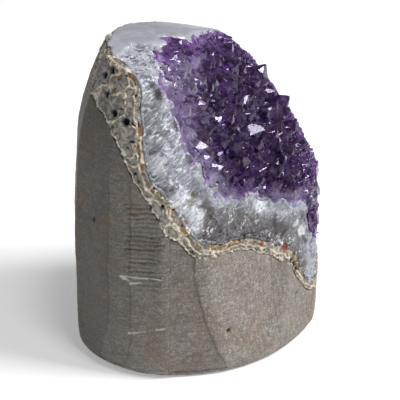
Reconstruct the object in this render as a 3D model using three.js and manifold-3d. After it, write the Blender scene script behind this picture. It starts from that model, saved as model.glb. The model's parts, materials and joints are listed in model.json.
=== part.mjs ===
// An amethyst druse with a cut base: a free-standing column of basalt, ground to broad flats, whose
// slanting upper face is a slightly hollow bed of violet points on a thick layer of white quartz.
// Millimetres, +Z up, the origin under the middle of the base. The bed faces -Y and upwards.
import * as THREE from "three";
import { mergeVertices } from "three/addons/utils/BufferGeometryUtils.js";
import Module from "manifold-3d";

const wasm = await Module();
wasm.setup();

// The ground column. Its footprint is an oval, ground to flats between corners that lie on it.
const OVAL = { long: 51.5, short: 43, turn: -27 }; // half its length and width, and degrees from +X
const CORNER_BEARINGS = [108, 139, 158, 167, 185, 216, 243, 280, 308, 331, 354, 20, 50, 81];
const COLUMN_HEIGHT = 122; // over the crown, which cuts it off
const FOOT_HEIGHT = 6; // the rounded edge round the base
const FOOT_ROUND = 0.07; // how fast it draws in, per square of the way down
const LEAN_FROM = 50; // above this height the flats lean in
const LEAN = 0.06;
const SHOULDER_FROM = 76; // and above this one they round over
const SHOULDER_ROUND = 0.006;
const LEANING_FLAT = 5; // this flat was ground aslant, so its edges run aslant too
const LEANING_FLAT_IN = 4.5; // how far it has come in at LEAN_FROM

// The bed's own frame: u runs along +X, v up the slope and w out of the bed
const BED_FACES = 41; // degrees that the bed's normal rises over -Y
const BED_MIDDLE = [-20, 74]; // y and z of the frame's origin

// The bed, as a height w over the frame's plane
const BED_RISE = 10.5;
const BED_TILT_U = -0.12;
const BED_TILT_V = -0.09;
const HOLLOW_DEPTH = 4; // of the hollow that runs across the bed
const HOLLOW_EXTRA = 12; // and how much deeper it gets on the -X side
const HOLLOW_TURN = [-8, 22]; // where along u it deepens, and over what length
const HOLLOW_V = [-5, -0.15]; // its middle line: v at u = 0, and slope
const HOLLOW_WIDTH = [25, 26]; // towards the lip and towards the crown
const LIP_DIP = { depth: 10, u: 28, v: -51, reach: 15 }; // the far front corner of the lip
const POCKET = { depth: 17, u: 9, v: -40, reach: 11 }; // a narrow pocket of points in the lip

// The sawn and smoothed crown, which cuts the bed off at the top
const FACING = { rise: 15, tiltV: -0.03, round: 0.0005 };
const CROWN = { z: 113, tiltU: 0.07, tiltV: -0.09, round: 0.0035, middle: -3, fromV: 30 };
const CROWN_BLEND = 12;

// The layers under the bed
const CRUST = 2.2; // the grown-together feet of the points
const QUARTZ = 18; // from the bed to the rind
const QUARTZ_TILT_V = -0.04;
const NOTCH = { depth: 14, u: 8, v: -48, reach: 14 }; // the quartz's deepest place, under the pocket
const SWELLING = { depth: 5, u: -41, v: -17, reach: 9 }; // the quartz's low corner at the hollow's end
const PINCH = { depth: -4, u: -46, v: 5, reach: 9 }; // where the lower nodule stands up into the quartz
const UNDER_NODULES = { depth: -8, u: -38, v: 48, reach: 14 }; // and where the upper ones do
const RIND = 4;
const NODULES = { depth: 15, u: -34, v: 48, reach: 20 }; // the thick, nodular part of the rind
const LOWER_NODULE = { depth: 3, u: -46, v: 2, reach: 9 };
const GAP = 0.3; // between neighbouring layers

// The points
const POINT_SPACING = 6.3;
const POINT_RADIUS = [3, 4.8];
const PRISM_SHARE = 0.3; // of the points show prism faces under their tip
const PRISM_RISE = [0.8, 2.8]; // over the bed
const POINT_ROOT = 2; // how deep a point is rooted
const POINT_LEAN = 26; // degrees
const TIP_SLOPE = 51.8; // degrees, of quartz's end faces

// The knobs and pits of the rind's outer side
const KNOBS = 18;
const KNOB_RADIUS = [2.6, 4.6];
const KNOB_DEPTH = 0.72; // of a knob's middle, as a share of its radius
const PIT_RADIUS = [1, 1.9];

const GRID = 8.25; // the layers' own grid
const SPAN = 9 * GRID; // half the width of a layer's block, which reaches past the foot's front
const DEEP = 170; // and its depth

const rad = THREE.MathUtils.degToRad;

// A repeatable number from 0 to 1 for whole numbers i, j and k
function chance(i, j, k) {
  const x = Math.sin(i * 12.9898 + j * 78.233 + k * 37.719) * 43758.5453;
  return x - Math.floor(x);
}

const between = ([low, high], t) => low + (high - low) * t;
const bump = (dip, u, v) => dip.depth * Math.exp(-((u - dip.u) ** 2 + (v - dip.v) ** 2) / dip.reach ** 2);

// A closed geometry as a solid
function solid(geometry) {
  const bare = geometry.index ? geometry.clone() : geometry;
  bare.deleteAttribute("normal");
  bare.deleteAttribute("uv");
  const merged = mergeVertices(bare, 1e-3);
  const mesh = new wasm.Mesh({
    numProp: 3,
    vertProperties: merged.attributes.position.array,
    triVerts: new Uint32Array(merged.index.array),
  });
  return new wasm.Manifold(mesh);
}

// A solid's largest body, so that no loose sliver stays beside a layer
function largest(shape) {
  return shape.decompose().sort((a, b) => b.volume() - a.volume())[0];
}

// Moves every vertex of a geometry to where place(vector) puts it
function warp(geometry, place) {
  const position = geometry.attributes.position;
  const p = new THREE.Vector3();
  for (let i = 0; i < position.count; i++) {
    place(p.fromBufferAttribute(position, i));
    position.setXYZ(i, p.x, p.y, p.z);
  }
  return geometry;
}

// The footprint's flats: outward normals and reaches, centred on the origin
const corners = CORNER_BEARINGS.map((bearing) => {
  const fromLong = rad(bearing - OVAL.turn);
  const reach = 1 / Math.hypot(Math.cos(fromLong) / OVAL.long, Math.sin(fromLong) / OVAL.short);
  return new THREE.Vector2(reach * Math.cos(rad(bearing)), reach * Math.sin(rad(bearing)));
});
const middle = new THREE.Box2().setFromPoints(corners).getCenter(new THREE.Vector2());
corners.forEach((c) => c.sub(middle));
const flats = corners.map((c, i) => {
  const next = corners[(i + 1) % corners.length];
  const normal = new THREE.Vector2(next.y - c.y, c.x - next.x).normalize();
  return { normal, reach: normal.dot(c) };
});

// How far the flats stand in at a height
function drawnIn(z) {
  const foot = Math.max(FOOT_HEIGHT - z, 0) ** 2 * FOOT_ROUND;
  const lean = Math.max(z - LEAN_FROM, 0) * LEAN;
  return foot + lean + Math.max(z - SHOULDER_FROM, 0) ** 2 * SHOULDER_ROUND;
}

// A flat's reach at a height
function reachAt(i, z) {
  const aslant = i === LEANING_FLAT ? (LEANING_FLAT_IN * Math.min(z, LEAN_FROM)) / LEAN_FROM : 0;
  return flats[i].reach - drawnIn(z) - aslant;
}

// The corner at a height between a flat and the one before it
function cornerAt(i, z) {
  const before = (i + flats.length - 1) % flats.length;
  const [a, b] = [flats[before], flats[i]];
  const [da, db] = [reachAt(before, z), reachAt(i, z)];
  const cross = a.normal.x * b.normal.y - a.normal.y * b.normal.x;
  return [(da * b.normal.y - db * a.normal.y) / cross, (db * a.normal.x - da * b.normal.x) / cross];
}

// The column: a cylinder with one side for each flat, its rings set at the heights that its curve needs
function column() {
  const heights = [0, 1.2, 2.6, FOOT_HEIGHT, LEAN_FROM, SHOULDER_FROM];
  for (let z = SHOULDER_FROM + 6; z < COLUMN_HEIGHT; z += 6) heights.push(z);
  heights.push(COLUMN_HEIGHT);
  const sides = flats.length;
  const rings = heights.length - 1;
  const turned = new THREE.CylinderGeometry(1, 1, 1, sides, rings).rotateX(Math.PI / 2).rotateZ(Math.PI / 2);
  return solid(
    warp(turned, (p) => {
      const z = heights[Math.round((p.z + 0.5) * rings)];
      const side = Math.round((Math.atan2(p.y, p.x) / (2 * Math.PI)) * sides + sides) % sides;
      const [x, y] = cornerAt(side, z);
      const out = Math.round(Math.hypot(p.x, p.y));
      p.set(x * out, y * out, z);
    }),
  );
}

// The bed's frame as a matrix
const tilt = rad(BED_FACES);
const bedFrame = new THREE.Matrix4().makeBasis(
  new THREE.Vector3(1, 0, 0),
  new THREE.Vector3(0, Math.sin(tilt), Math.cos(tilt)),
  new THREE.Vector3(0, -Math.cos(tilt), Math.sin(tilt)),
);
bedFrame.setPosition(0, ...BED_MIDDLE);

// The bed's height, before the pocket in its lip
function ground(u, v) {
  const near = 0.5 - 0.5 * Math.tanh((u - HOLLOW_TURN[0]) / HOLLOW_TURN[1]);
  const across = v - HOLLOW_V[0] - HOLLOW_V[1] * u;
  const width = across < 0 ? HOLLOW_WIDTH[0] : HOLLOW_WIDTH[1];
  const hollow = (HOLLOW_DEPTH + HOLLOW_EXTRA * near) * Math.exp(-((across / width) ** 2));
  return BED_RISE + BED_TILT_U * u + BED_TILT_V * v - hollow - bump(LIP_DIP, u, v);
}

const bed = (u, v) => ground(u, v) - bump(POCKET, u, v);

// The cut over the crown and its rounded front
function cut(u, v) {
  const facing = FACING.rise + FACING.tiltV * v - FACING.round * u ** 2;
  const slope = CROWN.tiltU * u + CROWN.tiltV * (v - CROWN.fromV) + CROWN.round * (u - CROWN.middle) ** 2;
  const crown = (CROWN.z - slope - BED_MIDDLE[1] - v * Math.cos(tilt)) / Math.sin(tilt);
  const mix = THREE.MathUtils.clamp(0.5 + (crown - facing) / (2 * CROWN_BLEND), 0, 1);
  return crown * (1 - mix) + facing * mix - CROWN_BLEND * mix * (1 - mix);
}

// The depths of the quartz's and the rind's undersides below the ground
const bumps = (dips, u, v) => dips.reduce((sum, dip) => sum + bump(dip, u, v), 0);
const quartzDepth = (u, v) =>
  QUARTZ + QUARTZ_TILT_V * v + bumps([NOTCH, SWELLING, PINCH, UNDER_NODULES], u, v);
const rindDepth = (u, v) => quartzDepth(u, v) + RIND + bumps([NODULES, LOWER_NODULE], u, v);

// All that lies below a height over the bed's frame
function under(height) {
  const cells = Math.round((2 * SPAN) / GRID);
  const block = new THREE.BoxGeometry(2 * SPAN, 2 * SPAN, 1, cells, cells, 1);
  warp(block, (p) => {
    p.z = p.z > 0 ? height(p.x, p.y) : -DEEP;
  });
  return solid(block.applyMatrix4(bedFrame));
}

// One point: a six-sided prism with a pyramid whose tip stands off its axis, standing on the bed
function point(i, j) {
  const radius = between(POINT_RADIUS, chance(i, j, 1) ** 2);
  const prism = chance(i, j, 2) < PRISM_SHARE;
  const rise = prism ? between(PRISM_RISE, chance(i, j, 10)) : 0;
  const slope = Math.cos(Math.PI / 6) * Math.tan(rad(TIP_SLOPE));
  const foot = prism ? radius : radius + POINT_ROOT / slope;
  const profile = [new THREE.Vector2(0, -POINT_ROOT), new THREE.Vector2(foot, -POINT_ROOT)];
  if (prism) profile.push(new THREE.Vector2(radius, rise));
  profile.push(new THREE.Vector2(0, rise + radius * slope));
  const crystal = new THREE.LatheGeometry(profile, 6).rotateX(Math.PI / 2);
  const aside = new THREE.Vector2(chance(i, j, 3) - 0.5, chance(i, j, 4) - 0.5).multiplyScalar(0.8 * radius);
  warp(crystal, (p) => {
    if (p.z > rise + 0.01) p.set(p.x + aside.x, p.y + aside.y, p.z);
  });
  const u = POINT_SPACING * (i + 0.5 * (j % 2) + 0.5 * (chance(i, j, 5) - 0.5));
  const v = POINT_SPACING * (j * Math.cos(Math.PI / 6) + 0.5 * (chance(i, j, 6) - 0.5));
  const lean = rad(POINT_LEAN);
  const axis = new THREE.Vector3(
    bed(u - 1, v) - bed(u + 1, v) + 2 * Math.sin(lean) * (chance(i, j, 7) - 0.5) * 2,
    bed(u, v - 1) - bed(u, v + 1) + 2 * Math.sin(lean) * (chance(i, j, 8) - 0.5) * 2,
    2,
  ).normalize();
  const turn = new THREE.Matrix4().makeRotationZ(chance(i, j, 9) * Math.PI);
  const stand = new THREE.Matrix4().makeRotationFromQuaternion(
    new THREE.Quaternion().setFromUnitVectors(new THREE.Vector3(0, 0, 1), axis),
  );
  stand.setPosition(u, v, bed(u, v));
  return solid(crystal.applyMatrix4(turn).applyMatrix4(stand).applyMatrix4(bedFrame));
}

// The points whose feet lie inside the envelope, with a sheet that joins their feet
function crust(envelope) {
  const last = Math.ceil(SPAN / POINT_SPACING);
  let points = [];
  for (let j = -last; j <= last; j++) {
    for (let i = -last; i <= last; i++) {
      const made = point(i, j);
      if (made.intersect(envelope).volume() > 1) points.push(made);
    }
  }
  const joined = wasm.Manifold.union([under(bed), ...points]);
  return largest(joined.intersect(envelope).subtract(under((u, v) => bed(u, v) - CRUST)));
}

// Knobs and pits where the rind comes out at the column's side
function weathered(rind) {
  let shape = rind;
  for (let k = 0; k < KNOBS; k++) {
    const bearing = rad(110 + 80 * chance(k, 0, 1));
    const share = chance(k, 0, 2);
    const pit = k % 3 === 0;
    const radius = between(pit ? PIT_RADIUS : KNOB_RADIUS, chance(k, 0, 3));
    const at = rindOutcrop(bearing, share, pit ? 0 : radius * KNOB_DEPTH);
    if (!at) continue;
    const ball = solid(new THREE.IcosahedronGeometry(radius, 0).rotateZ(k).translate(at.x, at.y, at.z));
    shape = pit ? shape.subtract(ball) : shape.add(ball);
  }
  return shape;
}

// Where the rind comes out at a bearing, a share of its thickness down from the quartz
function rindOutcrop(bearing, share, depth) {
  const out = new THREE.Vector2(Math.cos(bearing), Math.sin(bearing));
  const toBed = bedFrame.clone().invert();
  for (let z = COLUMN_HEIGHT; z > FOOT_HEIGHT; z -= 0.5) {
    const reaches = flats.map((f, i) => reachAt(i, z) / Math.max(f.normal.dot(out), 0.01));
    const reach = Math.min(...reaches) - depth;
    const p = new THREE.Vector3(out.x * reach, out.y * reach, z);
    const [u, v, w] = p.clone().applyMatrix4(toBed).toArray();
    const wanted = quartzDepth(u, v) * (1 - share) + rindDepth(u, v) * share;
    if (ground(u, v) - w > wanted) return p;
  }
  return null;
}

// A solid as a named mesh
function piece(name, shape, color, roughness) {
  const made = shape.getMesh();
  const geometry = new THREE.BufferGeometry();
  geometry.setAttribute("position", new THREE.BufferAttribute(made.vertProperties, 3));
  geometry.setIndex(new THREE.BufferAttribute(made.triVerts, 1));
  geometry.computeVertexNormals();
  const material = new THREE.MeshStandardMaterial({ color, roughness, metalness: 0, flatShading: true });
  const mesh = new THREE.Mesh(geometry, material);
  mesh.name = name;
  return mesh;
}

const envelope = column().intersect(under(cut));
const quartzFloor = under((u, v) => ground(u, v) - quartzDepth(u, v));
const rindTop = under((u, v) => ground(u, v) - quartzDepth(u, v) - GAP);
const rindFloor = under((u, v) => ground(u, v) - rindDepth(u, v));
const hostTop = under((u, v) => ground(u, v) - rindDepth(u, v) - GAP);
const quartzTop = under((u, v) => bed(u, v) - CRUST - GAP);

const host = largest(envelope.intersect(hostTop));
const layer = envelope.intersect(rindTop).subtract(rindFloor);
const rind = largest(weathered(layer).intersect(rindTop).subtract(rindFloor));
const quartz = largest(envelope.intersect(quartzTop).subtract(quartzFloor));

const druse = new THREE.Group();
druse.add(
  piece("basalt_host", host, "#6e6a64", 0.85),
  piece("agate_rind", rind, "#a08b6b", 0.8),
  piece("milky_quartz", quartz, "#b4b6bd", 0.45),
  piece("amethyst_crust", crust(envelope), "#4a3563", 0.15),
);

export default druse;
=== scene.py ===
"""An amethyst druse with a cut base: its looks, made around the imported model."""

import json
from bisect import bisect_right
from math import atan2, ceil, cos, degrees, exp, floor, fmod, hypot, log, pi, radians, sin, tan, tanh

import bmesh
import bpy
from bpy.props import FloatProperty, FloatVectorProperty, PointerProperty
from mathutils import Matrix, Vector, noise

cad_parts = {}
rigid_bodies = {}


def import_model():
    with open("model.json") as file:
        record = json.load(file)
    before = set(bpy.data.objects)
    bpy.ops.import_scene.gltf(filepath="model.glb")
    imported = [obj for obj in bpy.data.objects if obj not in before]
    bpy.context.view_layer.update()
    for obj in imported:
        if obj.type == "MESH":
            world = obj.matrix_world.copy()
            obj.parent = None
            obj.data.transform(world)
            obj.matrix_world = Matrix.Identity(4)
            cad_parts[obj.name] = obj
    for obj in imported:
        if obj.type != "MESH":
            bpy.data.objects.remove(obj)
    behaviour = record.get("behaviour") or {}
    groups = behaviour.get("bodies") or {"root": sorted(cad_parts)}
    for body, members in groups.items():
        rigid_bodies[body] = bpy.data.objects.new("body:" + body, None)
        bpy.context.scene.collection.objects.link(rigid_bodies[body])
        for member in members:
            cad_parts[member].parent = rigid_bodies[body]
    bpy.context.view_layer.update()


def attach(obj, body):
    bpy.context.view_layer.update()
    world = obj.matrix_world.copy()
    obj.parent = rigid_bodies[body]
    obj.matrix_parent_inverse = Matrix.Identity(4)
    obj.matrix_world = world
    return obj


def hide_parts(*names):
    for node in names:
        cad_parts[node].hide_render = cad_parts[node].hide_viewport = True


bl_info = {
    "name": "Amethyst Druse",
    "version": (1, 0, 0),
    "blender": (4, 5, 0),
    "location": "View3D > Sidebar > Druse",
    "description": "Dresses a cut-base amethyst: ground basalt, agate rind, milky quartz and violet points",
    "category": "Object",
}

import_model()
MM = 0.001

# Without a seed, noise_vector follows the clock, and each run gives another stone
noise.seed_set(7)

# The stone's form, in millimetres, as the part's source gives it

# The footprint: an oval's half length, half width and turn, and the bearings of its flats' corners
OVAL_LONG, OVAL_SHORT, OVAL_TURN = 51.5, 43, -27
CORNER_BEARINGS = (108, 139, 158, 167, 185, 216, 243, 280, 308, 331, 354, 20, 50, 81)
COLUMN_HEIGHT = 122
FOOT_HEIGHT = 6
FOOT_ROUND = 0.07
LEAN_FROM = 50
LEAN = 0.06
SHOULDER_FROM = 76
SHOULDER_ROUND = 0.006
LEANING_FLAT = 5  # this flat was ground aslant, so its edges run aslant too
LEANING_FLAT_IN = 4.5  # how far it has come in at LEAN_FROM
EDGE_SOFTNESS = 0.15  # how far a ground edge is worn round
FOOT_SOFTNESS, FOOT_SOFT_TO = 2.6, 16  # and how much more at the foot, up to which height

# The bed's own frame: u along +X, v up the slope, w out of the bed
BED_FACES = radians(41)
BED_MIDDLE = Vector((0, -20, 74))
BED_FRAME = Matrix.Translation(BED_MIDDLE) @ Matrix.Rotation(pi / 2 - BED_FACES, 4, "X")
TO_BED = BED_FRAME.inverted()

BED_RISE = 10.5
BED_TILT_U = -0.12
BED_TILT_V = -0.09
HOLLOW_DEPTH = 4
HOLLOW_EXTRA = 12
HOLLOW_TURN = (-8, 22)
HOLLOW_V = (-5, -0.15)
HOLLOW_WIDTH = (25, 26)

# Dips and swellings over the bed's plane: depth, u, v and reach
LIP_DIP = (10, 28, -51, 15)
POCKET = (17, 9, -40, 11)
NOTCH = (14, 8, -48, 14)
SWELLING = (5, -41, -17, 9)
PINCH = (-4, -46, 5, 9)
UNDER_NODULES = (-8, -38, 48, 14)
NODULES = (15, -34, 48, 20)
LOWER_NODULE = (3, -46, 2, 9)
QUARTZ = 18
QUARTZ_TILT_V = -0.04
RIND = 4
RAGGED = 0.9  # how far the layers' borders wander

FACING_RISE, FACING_TILT_V, FACING_ROUND = 15, -0.03, 0.0005
CROWN_Z, CROWN_TILT_U, CROWN_TILT_V, CROWN_ROUND = 113, 0.07, -0.09, 0.0035
CROWN_MIDDLE, CROWN_FROM_V, CROWN_BLEND = -3, 30, 12

OVERLAP = 0.5  # how far a layer runs in under the next, so that no gap shows
SPAN = 74.25  # half the width of a layer's block, which reaches past the foot's front
DEEP = 170  # and its depth
LAYER_CELLS, CROWN_CELLS, BED_CELLS = 90, 60, 66  # along a block's side
GROWTH_CELLS, ROUGH_CELLS = 100, 110
TIP_SLOPE = radians(51.8)  # of quartz's end faces

# The points' lattices: the coarse one is the model's own
PRISM_SHARE = 0.3  # of the points show prism faces under their tip
RIM_REACH = 9  # within which the points get smaller towards the stone's outside
EDGE_WEAR = 0.17  # width of the worn edges, which catch the light
POINT_FORMS = 12  # different points in each lattice
COARSE = dict(spacing=6.3, radii=(3, 4.8), rises=(0.8, 2.8), lean=26, rim=0.8, far=0.32, seed=0)
MEDIUM = dict(spacing=4.1, radii=(1.5, 2.7), rises=(0.4, 1.8), lean=32, rim=0.85, far=0.7, seed=40)
FINE = dict(spacing=2.7, radii=(0.8, 1.5), rises=(0.2, 1.2), lean=40, rim=1, far=1, seed=70)

# Marks on the side, by bearing in degrees, height and radius: all but the last two vugs are in the
# photograph
VUGS = ((152, 59, 0.8), (215, 18, 0.8), (262, 22, 0.6), (20, 47, 0.8), (95, 30, 0.7))
HOLES = (
    (149, 112, 1.3), (145, 109.5, 1.2), (137, 105, 1.3), (151, 104, 1), (159, 99.5, 1.2),
    (166, 97.5, 1.3), (187, 70.5, 0.7), (185, 69, 0.6), (256, 37, 1.2), (259, 34.5, 1.3),
    (262, 32, 1.1),
)
RUST_SPOTS = ((193, 64, 1), (195, 62, 0.8), (252, 43.5, 1.3), (237, 47.5, 0.8), (157, 110.5, 0.7))
MOSS_SPOTS = ((183, 73, 1.2), (185, 71, 0.9), (197, 69.5, 1.2), (198, 72, 1), (156, 106, 1))
WHITE_SPOTS = (
    (190, 71, 2.5), (194, 69.5, 3), (197, 67.5, 3.5), (200, 64, 3), (200, 60.5, 2), (139, 116, 3),
    (146, 115.5, 3), (182, 84, 3), (238, 61.5, 2), (264, 50.5, 2), (268, 45.5, 2),
)
SMOKY_SPOTS = (
    (187, 73.5, 2.5), (208, 59, 5), (212, 55, 5), (207, 64, 2.5), (165, 107, 2.5), (168, 102, 2.5),
    (180, 107.5, 2),
)
STONE_SPOTS = ((283, 26, 3), (275, 30.5, 1.8))
# Scratches, from and to, by bearing and height
SCRATCHES = (
    ((167, 40.5), (188, 41.5)),
    ((168, 40), (174, 38)),
    ((171, 38), (177, 39.5)),
    ((170, 18), (179, 20)),
    ((182, 21), (187, 22)),
)
SIDE_REACH = 48  # the side's usual reach, for laying marks out flat
# The saw's ridges on one side: pitch, depth, and between which bearings and heights they lie
SAW_PITCH, SAW_DEPTH = 1.7, 0.62
SAW_FROM, SAW_TO = 168, 187
SAW_LOW, SAW_HIGH = 34, 71
HOLLOW_GROUND = 0.3  # how far a flat is ground hollow between its edges
# The grinder's strokes: the bearing that each begins from, above and at the foot, the height that its
# border flares from, its depth, and how dark it is from 0 to 1: partly the stroke's own tone, and partly
# painted shade on the strokes that face away from the lamps
STROKES = (
    (22, 17, 30, 0.2, 0.3), (52, 58, 36, 0, 0.1), (84, 80, 28, 0.3, 0.4), (112, 106, 30, 0.1, 0.2),
    (138, 141, 24, 0, 1), (161, 151, 30, 0.35, 0.62), (171, 164, 18, 0, 0.4), (188, 186, 20, 0.35, 0.4),
    (198, 216, 52, 0, 0), (243, 250, 30, 0.15, 0.15), (280, 272, 40, 0, 0.05),
    (308, 314, 34, 0.25, 0.2), (338, 331, 30, 0, 0.1),
)

# The broken ledge where the crown's polish ends
LEDGE_V, LEDGE_U, LEDGE_SLOPE = 57.2, -16.4, 1.8
COLUMN_WIDTH = 4.4  # of the quartz's columns
GRAIN_WIDTH = 2.4  # of its crushed grains
LENS_WIDTH = 11.5  # of the rind's lenses
# The violet growth's depth at the rim, by bearing in degrees
VIOLET_EDGE = (
    (0, 0.5), (30, -0.5), (58, -0.5), (80, 1.5), (115, 4.5), (138, 4), (168, 3), (177, 1.5), (200, 1),
    (206, 2), (212, 4), (219, 4), (228, 1.5), (245, 2.5), (256, 4.5), (263, 5), (272, 1), (279, -1.5),
    (304, -1), (322, 1), (361, 0.5),
)
TONGUE = (6, 14, -31, 9)  # more violet growth on the pocket's flank, as for the dips above
LOBE_WIDTH = 4.8  # of the quartz's lobes that come up through the violet
CHIP_WIDTH = 2.8  # of the broken faces where the points end
# Zones by bearing: the degrees between which each fades in, and between which it fades out
WIDE_RIM = (160, 178, 198, 212)  # where the violet growth thickens most slowly
MILKY_LEFT = (160, 186, 206, 226)
MILKY_LOW = (130, 225, 262, 280)
COMBED = (200, 214, 300, 330)  # basalt ground along its height
BLUE_BAND = (126, 136, 168, 176)
CRUSHED = (120, 135, 192, 206)  # quartz broken small
SMOKY = (197, 205, 264, 278)
QUARTZ_IOR = 1.544
# Where the meshes are made finer: near the outside, on the bed's bare rim, and on the basalt's marked side
SKIN = 1.7
RIM_UNDER, RIM_WITHIN = 2.5, 10
MARKED_FROM, MARKED_TO, MARKED_UNDER = 150, 218, 80

CAMERA_AZIMUTH, CAMERA_HEIGHT = -70, 24.5
CAMERA_AIM, CAMERA_ASIDE = 51, 0.6  # millimetres up the stone's axis, and to the picture's right of it
CAMERA_LENS, CAMERA_DISTANCE = 148.8, 0.62  # millimetres, and metres
FLOOR_SIZE = 3  # metres each way from the middle
FLOOR_GLOW = 0.3  # the floor is a lit sheet, so that shadows on it stay pale
WORLD_COLOUR, WORLD_STRENGTH = (0.97, 0.98, 1.0, 1), 0.16
LAMPS_AIM = 0.06  # metres up the stone's axis
# Azimuth and height in degrees, distance and size in metres, power in watts
LAMPS = (("key", 10, 48, 1.5, 0.55, 22), ("window", -40, 68, 1.2, 0.28, 4))


def chance(i, j, k):
    """A repeatable number from 0 to 1 for whole numbers i, j and k."""
    x = sin(i * 12.9898 + j * 78.233 + k * 37.719) * 43758.5453
    return x - floor(x)


def between(low, high, share):
    return low + (high - low) * share


def smooth_step(low, high, x):
    share = min(max((x - low) / (high - low), 0), 1)
    return share * share * (3 - 2 * share)


def plateau(x, rises, full, falls, gone):
    """0 up to rises, 1 from full to falls, and 0 again from gone on."""
    return smooth_step(rises, full, x) * (1 - smooth_step(falls, gone, x))


def bearing_of(place):
    """A place's bearing round the stone's axis, from 0 to 360 degrees."""
    return degrees(atan2(place.y, place.x)) % 360


def dip(shape, u, v):
    depth, at_u, at_v, reach = shape
    return depth * exp(-((u - at_u) ** 2 + (v - at_v) ** 2) / reach**2)


def footprint_flats():
    """The footprint's flats as bearing and reach, centred on the origin."""
    points = []
    for bearing in CORNER_BEARINGS:
        from_long = radians(bearing - OVAL_TURN)
        reach = 1 / hypot(cos(from_long) / OVAL_LONG, sin(from_long) / OVAL_SHORT)
        points.append(Vector((reach * cos(radians(bearing)), reach * sin(radians(bearing)))))
    low = Vector((min(p.x for p in points), min(p.y for p in points)))
    high = Vector((max(p.x for p in points), max(p.y for p in points)))
    points = [p - (low + high) / 2 for p in points]
    flats = []
    for a, b in zip(points, points[1:] + points[:1]):
        normal = Vector((b.y - a.y, a.x - b.x)).normalized()
        flats.append((atan2(normal.y, normal.x), normal.dot(a)))
    return flats


FLATS = footprint_flats()


def drawn_in(z):
    """How far the flats stand in at a height."""
    foot = max(FOOT_HEIGHT - z, 0) ** 2 * FOOT_ROUND
    lean = max(z - LEAN_FROM, 0) * LEAN
    return foot + lean + max(z - SHOULDER_FROM, 0) ** 2 * SHOULDER_ROUND


def reaches_at(bearing, z):
    """How far out the flats lie that a bearing meets at a height, the nearest first."""
    inset = drawn_in(z)
    aslant = LEANING_FLAT_IN * min(z, LEAN_FROM) / LEAN_FROM
    met = []
    for flat, (faces, reach) in enumerate(FLATS):
        facing = cos(bearing - faces)
        if facing > 0.3:
            met.append((reach - inset - (aslant if flat == LEANING_FLAT else 0)) / facing)
    return sorted(met)


def column_reach(bearing, z):
    """The ground column's reach from its axis, with its edges worn a little round."""
    reaches = reaches_at(bearing, z)
    soft = EDGE_SOFTNESS + FOOT_SOFTNESS * max(1 - z / FOOT_SOFT_TO, 0) ** 2
    return reaches[0] - soft * log(sum(exp((reaches[0] - r) / soft) for r in reaches))


def ground(u, v):
    """The bed's height over its frame's plane, before the pocket in its lip."""
    near = 0.5 - 0.5 * tanh((u - HOLLOW_TURN[0]) / HOLLOW_TURN[1])
    across = v - HOLLOW_V[0] - HOLLOW_V[1] * u
    width = HOLLOW_WIDTH[0] if across < 0 else HOLLOW_WIDTH[1]
    hollow = (HOLLOW_DEPTH + HOLLOW_EXTRA * near) * exp(-((across / width) ** 2))
    return BED_RISE + BED_TILT_U * u + BED_TILT_V * v - hollow - dip(LIP_DIP, u, v)


def bed(u, v):
    return ground(u, v) - dip(POCKET, u, v)


def crown_cut(u, v):
    """The sawn crown and its rounded front, over the bed's plane."""
    facing = FACING_RISE + FACING_TILT_V * v - FACING_ROUND * u**2
    slope = CROWN_TILT_U * u + CROWN_TILT_V * (v - CROWN_FROM_V) + CROWN_ROUND * (u - CROWN_MIDDLE) ** 2
    crown = (CROWN_Z - slope - BED_MIDDLE.z - v * cos(BED_FACES)) / sin(BED_FACES)
    mix = min(max(0.5 + (crown - facing) / (2 * CROWN_BLEND), 0), 1)
    return crown * (1 - mix) + facing * mix - CROWN_BLEND * mix * (1 - mix)


def quartz_floor(u, v):
    ragged = RAGGED * (noise.noise(Vector((u, v, 0)) / 6) + 0.6 * noise.noise(Vector((u, v, 9)) / 2.6))
    waves = (NOTCH, SWELLING, PINCH, UNDER_NODULES)
    return ground(u, v) - QUARTZ - QUARTZ_TILT_V * v - sum(dip(d, u, v) for d in waves) + ragged


def rind_floor(u, v):
    ragged = RAGGED * (noise.noise(Vector((u, v, 4)) / 5) + 0.6 * noise.noise(Vector((u, v, 7)) / 2.4))
    return quartz_floor(u, v) - max(RIND + dip(NODULES, u, v) + dip(LOWER_NODULE, u, v) + ragged, 1)


# Meshes


def opened(made):
    """An object's mesh as a bmesh."""
    bm = bmesh.new()
    bm.from_mesh(made.data)
    return bm


def stored(bm, mesh):
    """Writes a bmesh into a mesh and frees it."""
    bm.to_mesh(mesh)
    bm.free()
    return mesh


def finish_mesh(bm, name, scale=MM):
    """A bmesh in millimetres as an object in metres at the origin."""
    bmesh.ops.scale(bm, vec=(scale, scale, scale), verts=bm.verts)
    made = bpy.data.objects.new(name, stored(bm, bpy.data.meshes.new(name)))
    bpy.context.scene.collection.objects.link(made)
    return made


def column_form(turns, rise):
    """The ground column as a closed form: a profile spun round its axis, then pushed in to the flats."""
    bm = bmesh.new()
    rings = ceil(COLUMN_HEIGHT / rise)
    heights = [COLUMN_HEIGHT * k / rings for k in range(rings + 1)]
    profile = [bm.verts.new((0, 0, 0))]
    profile += [bm.verts.new((1, 0, z)) for z in heights]
    profile.append(bm.verts.new((0, 0, COLUMN_HEIGHT)))
    edges = [bm.edges.new(pair) for pair in zip(profile, profile[1:])]
    bmesh.ops.spin(
        bm, geom=profile + edges, axis=(0, 0, 1), cent=(0, 0, 0), angle=2 * pi, steps=turns, use_merge=True
    )
    bmesh.ops.remove_doubles(bm, verts=bm.verts, dist=1e-4)
    for vert in bm.verts:
        if hypot(vert.co.x, vert.co.y) > 0.5:
            bearing = atan2(vert.co.y, vert.co.x)
            reach = column_reach(bearing, vert.co.z)
            vert.co.xy = (reach * cos(bearing), reach * sin(bearing))
    bmesh.ops.recalc_face_normals(bm, faces=bm.faces)
    return bm


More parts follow.
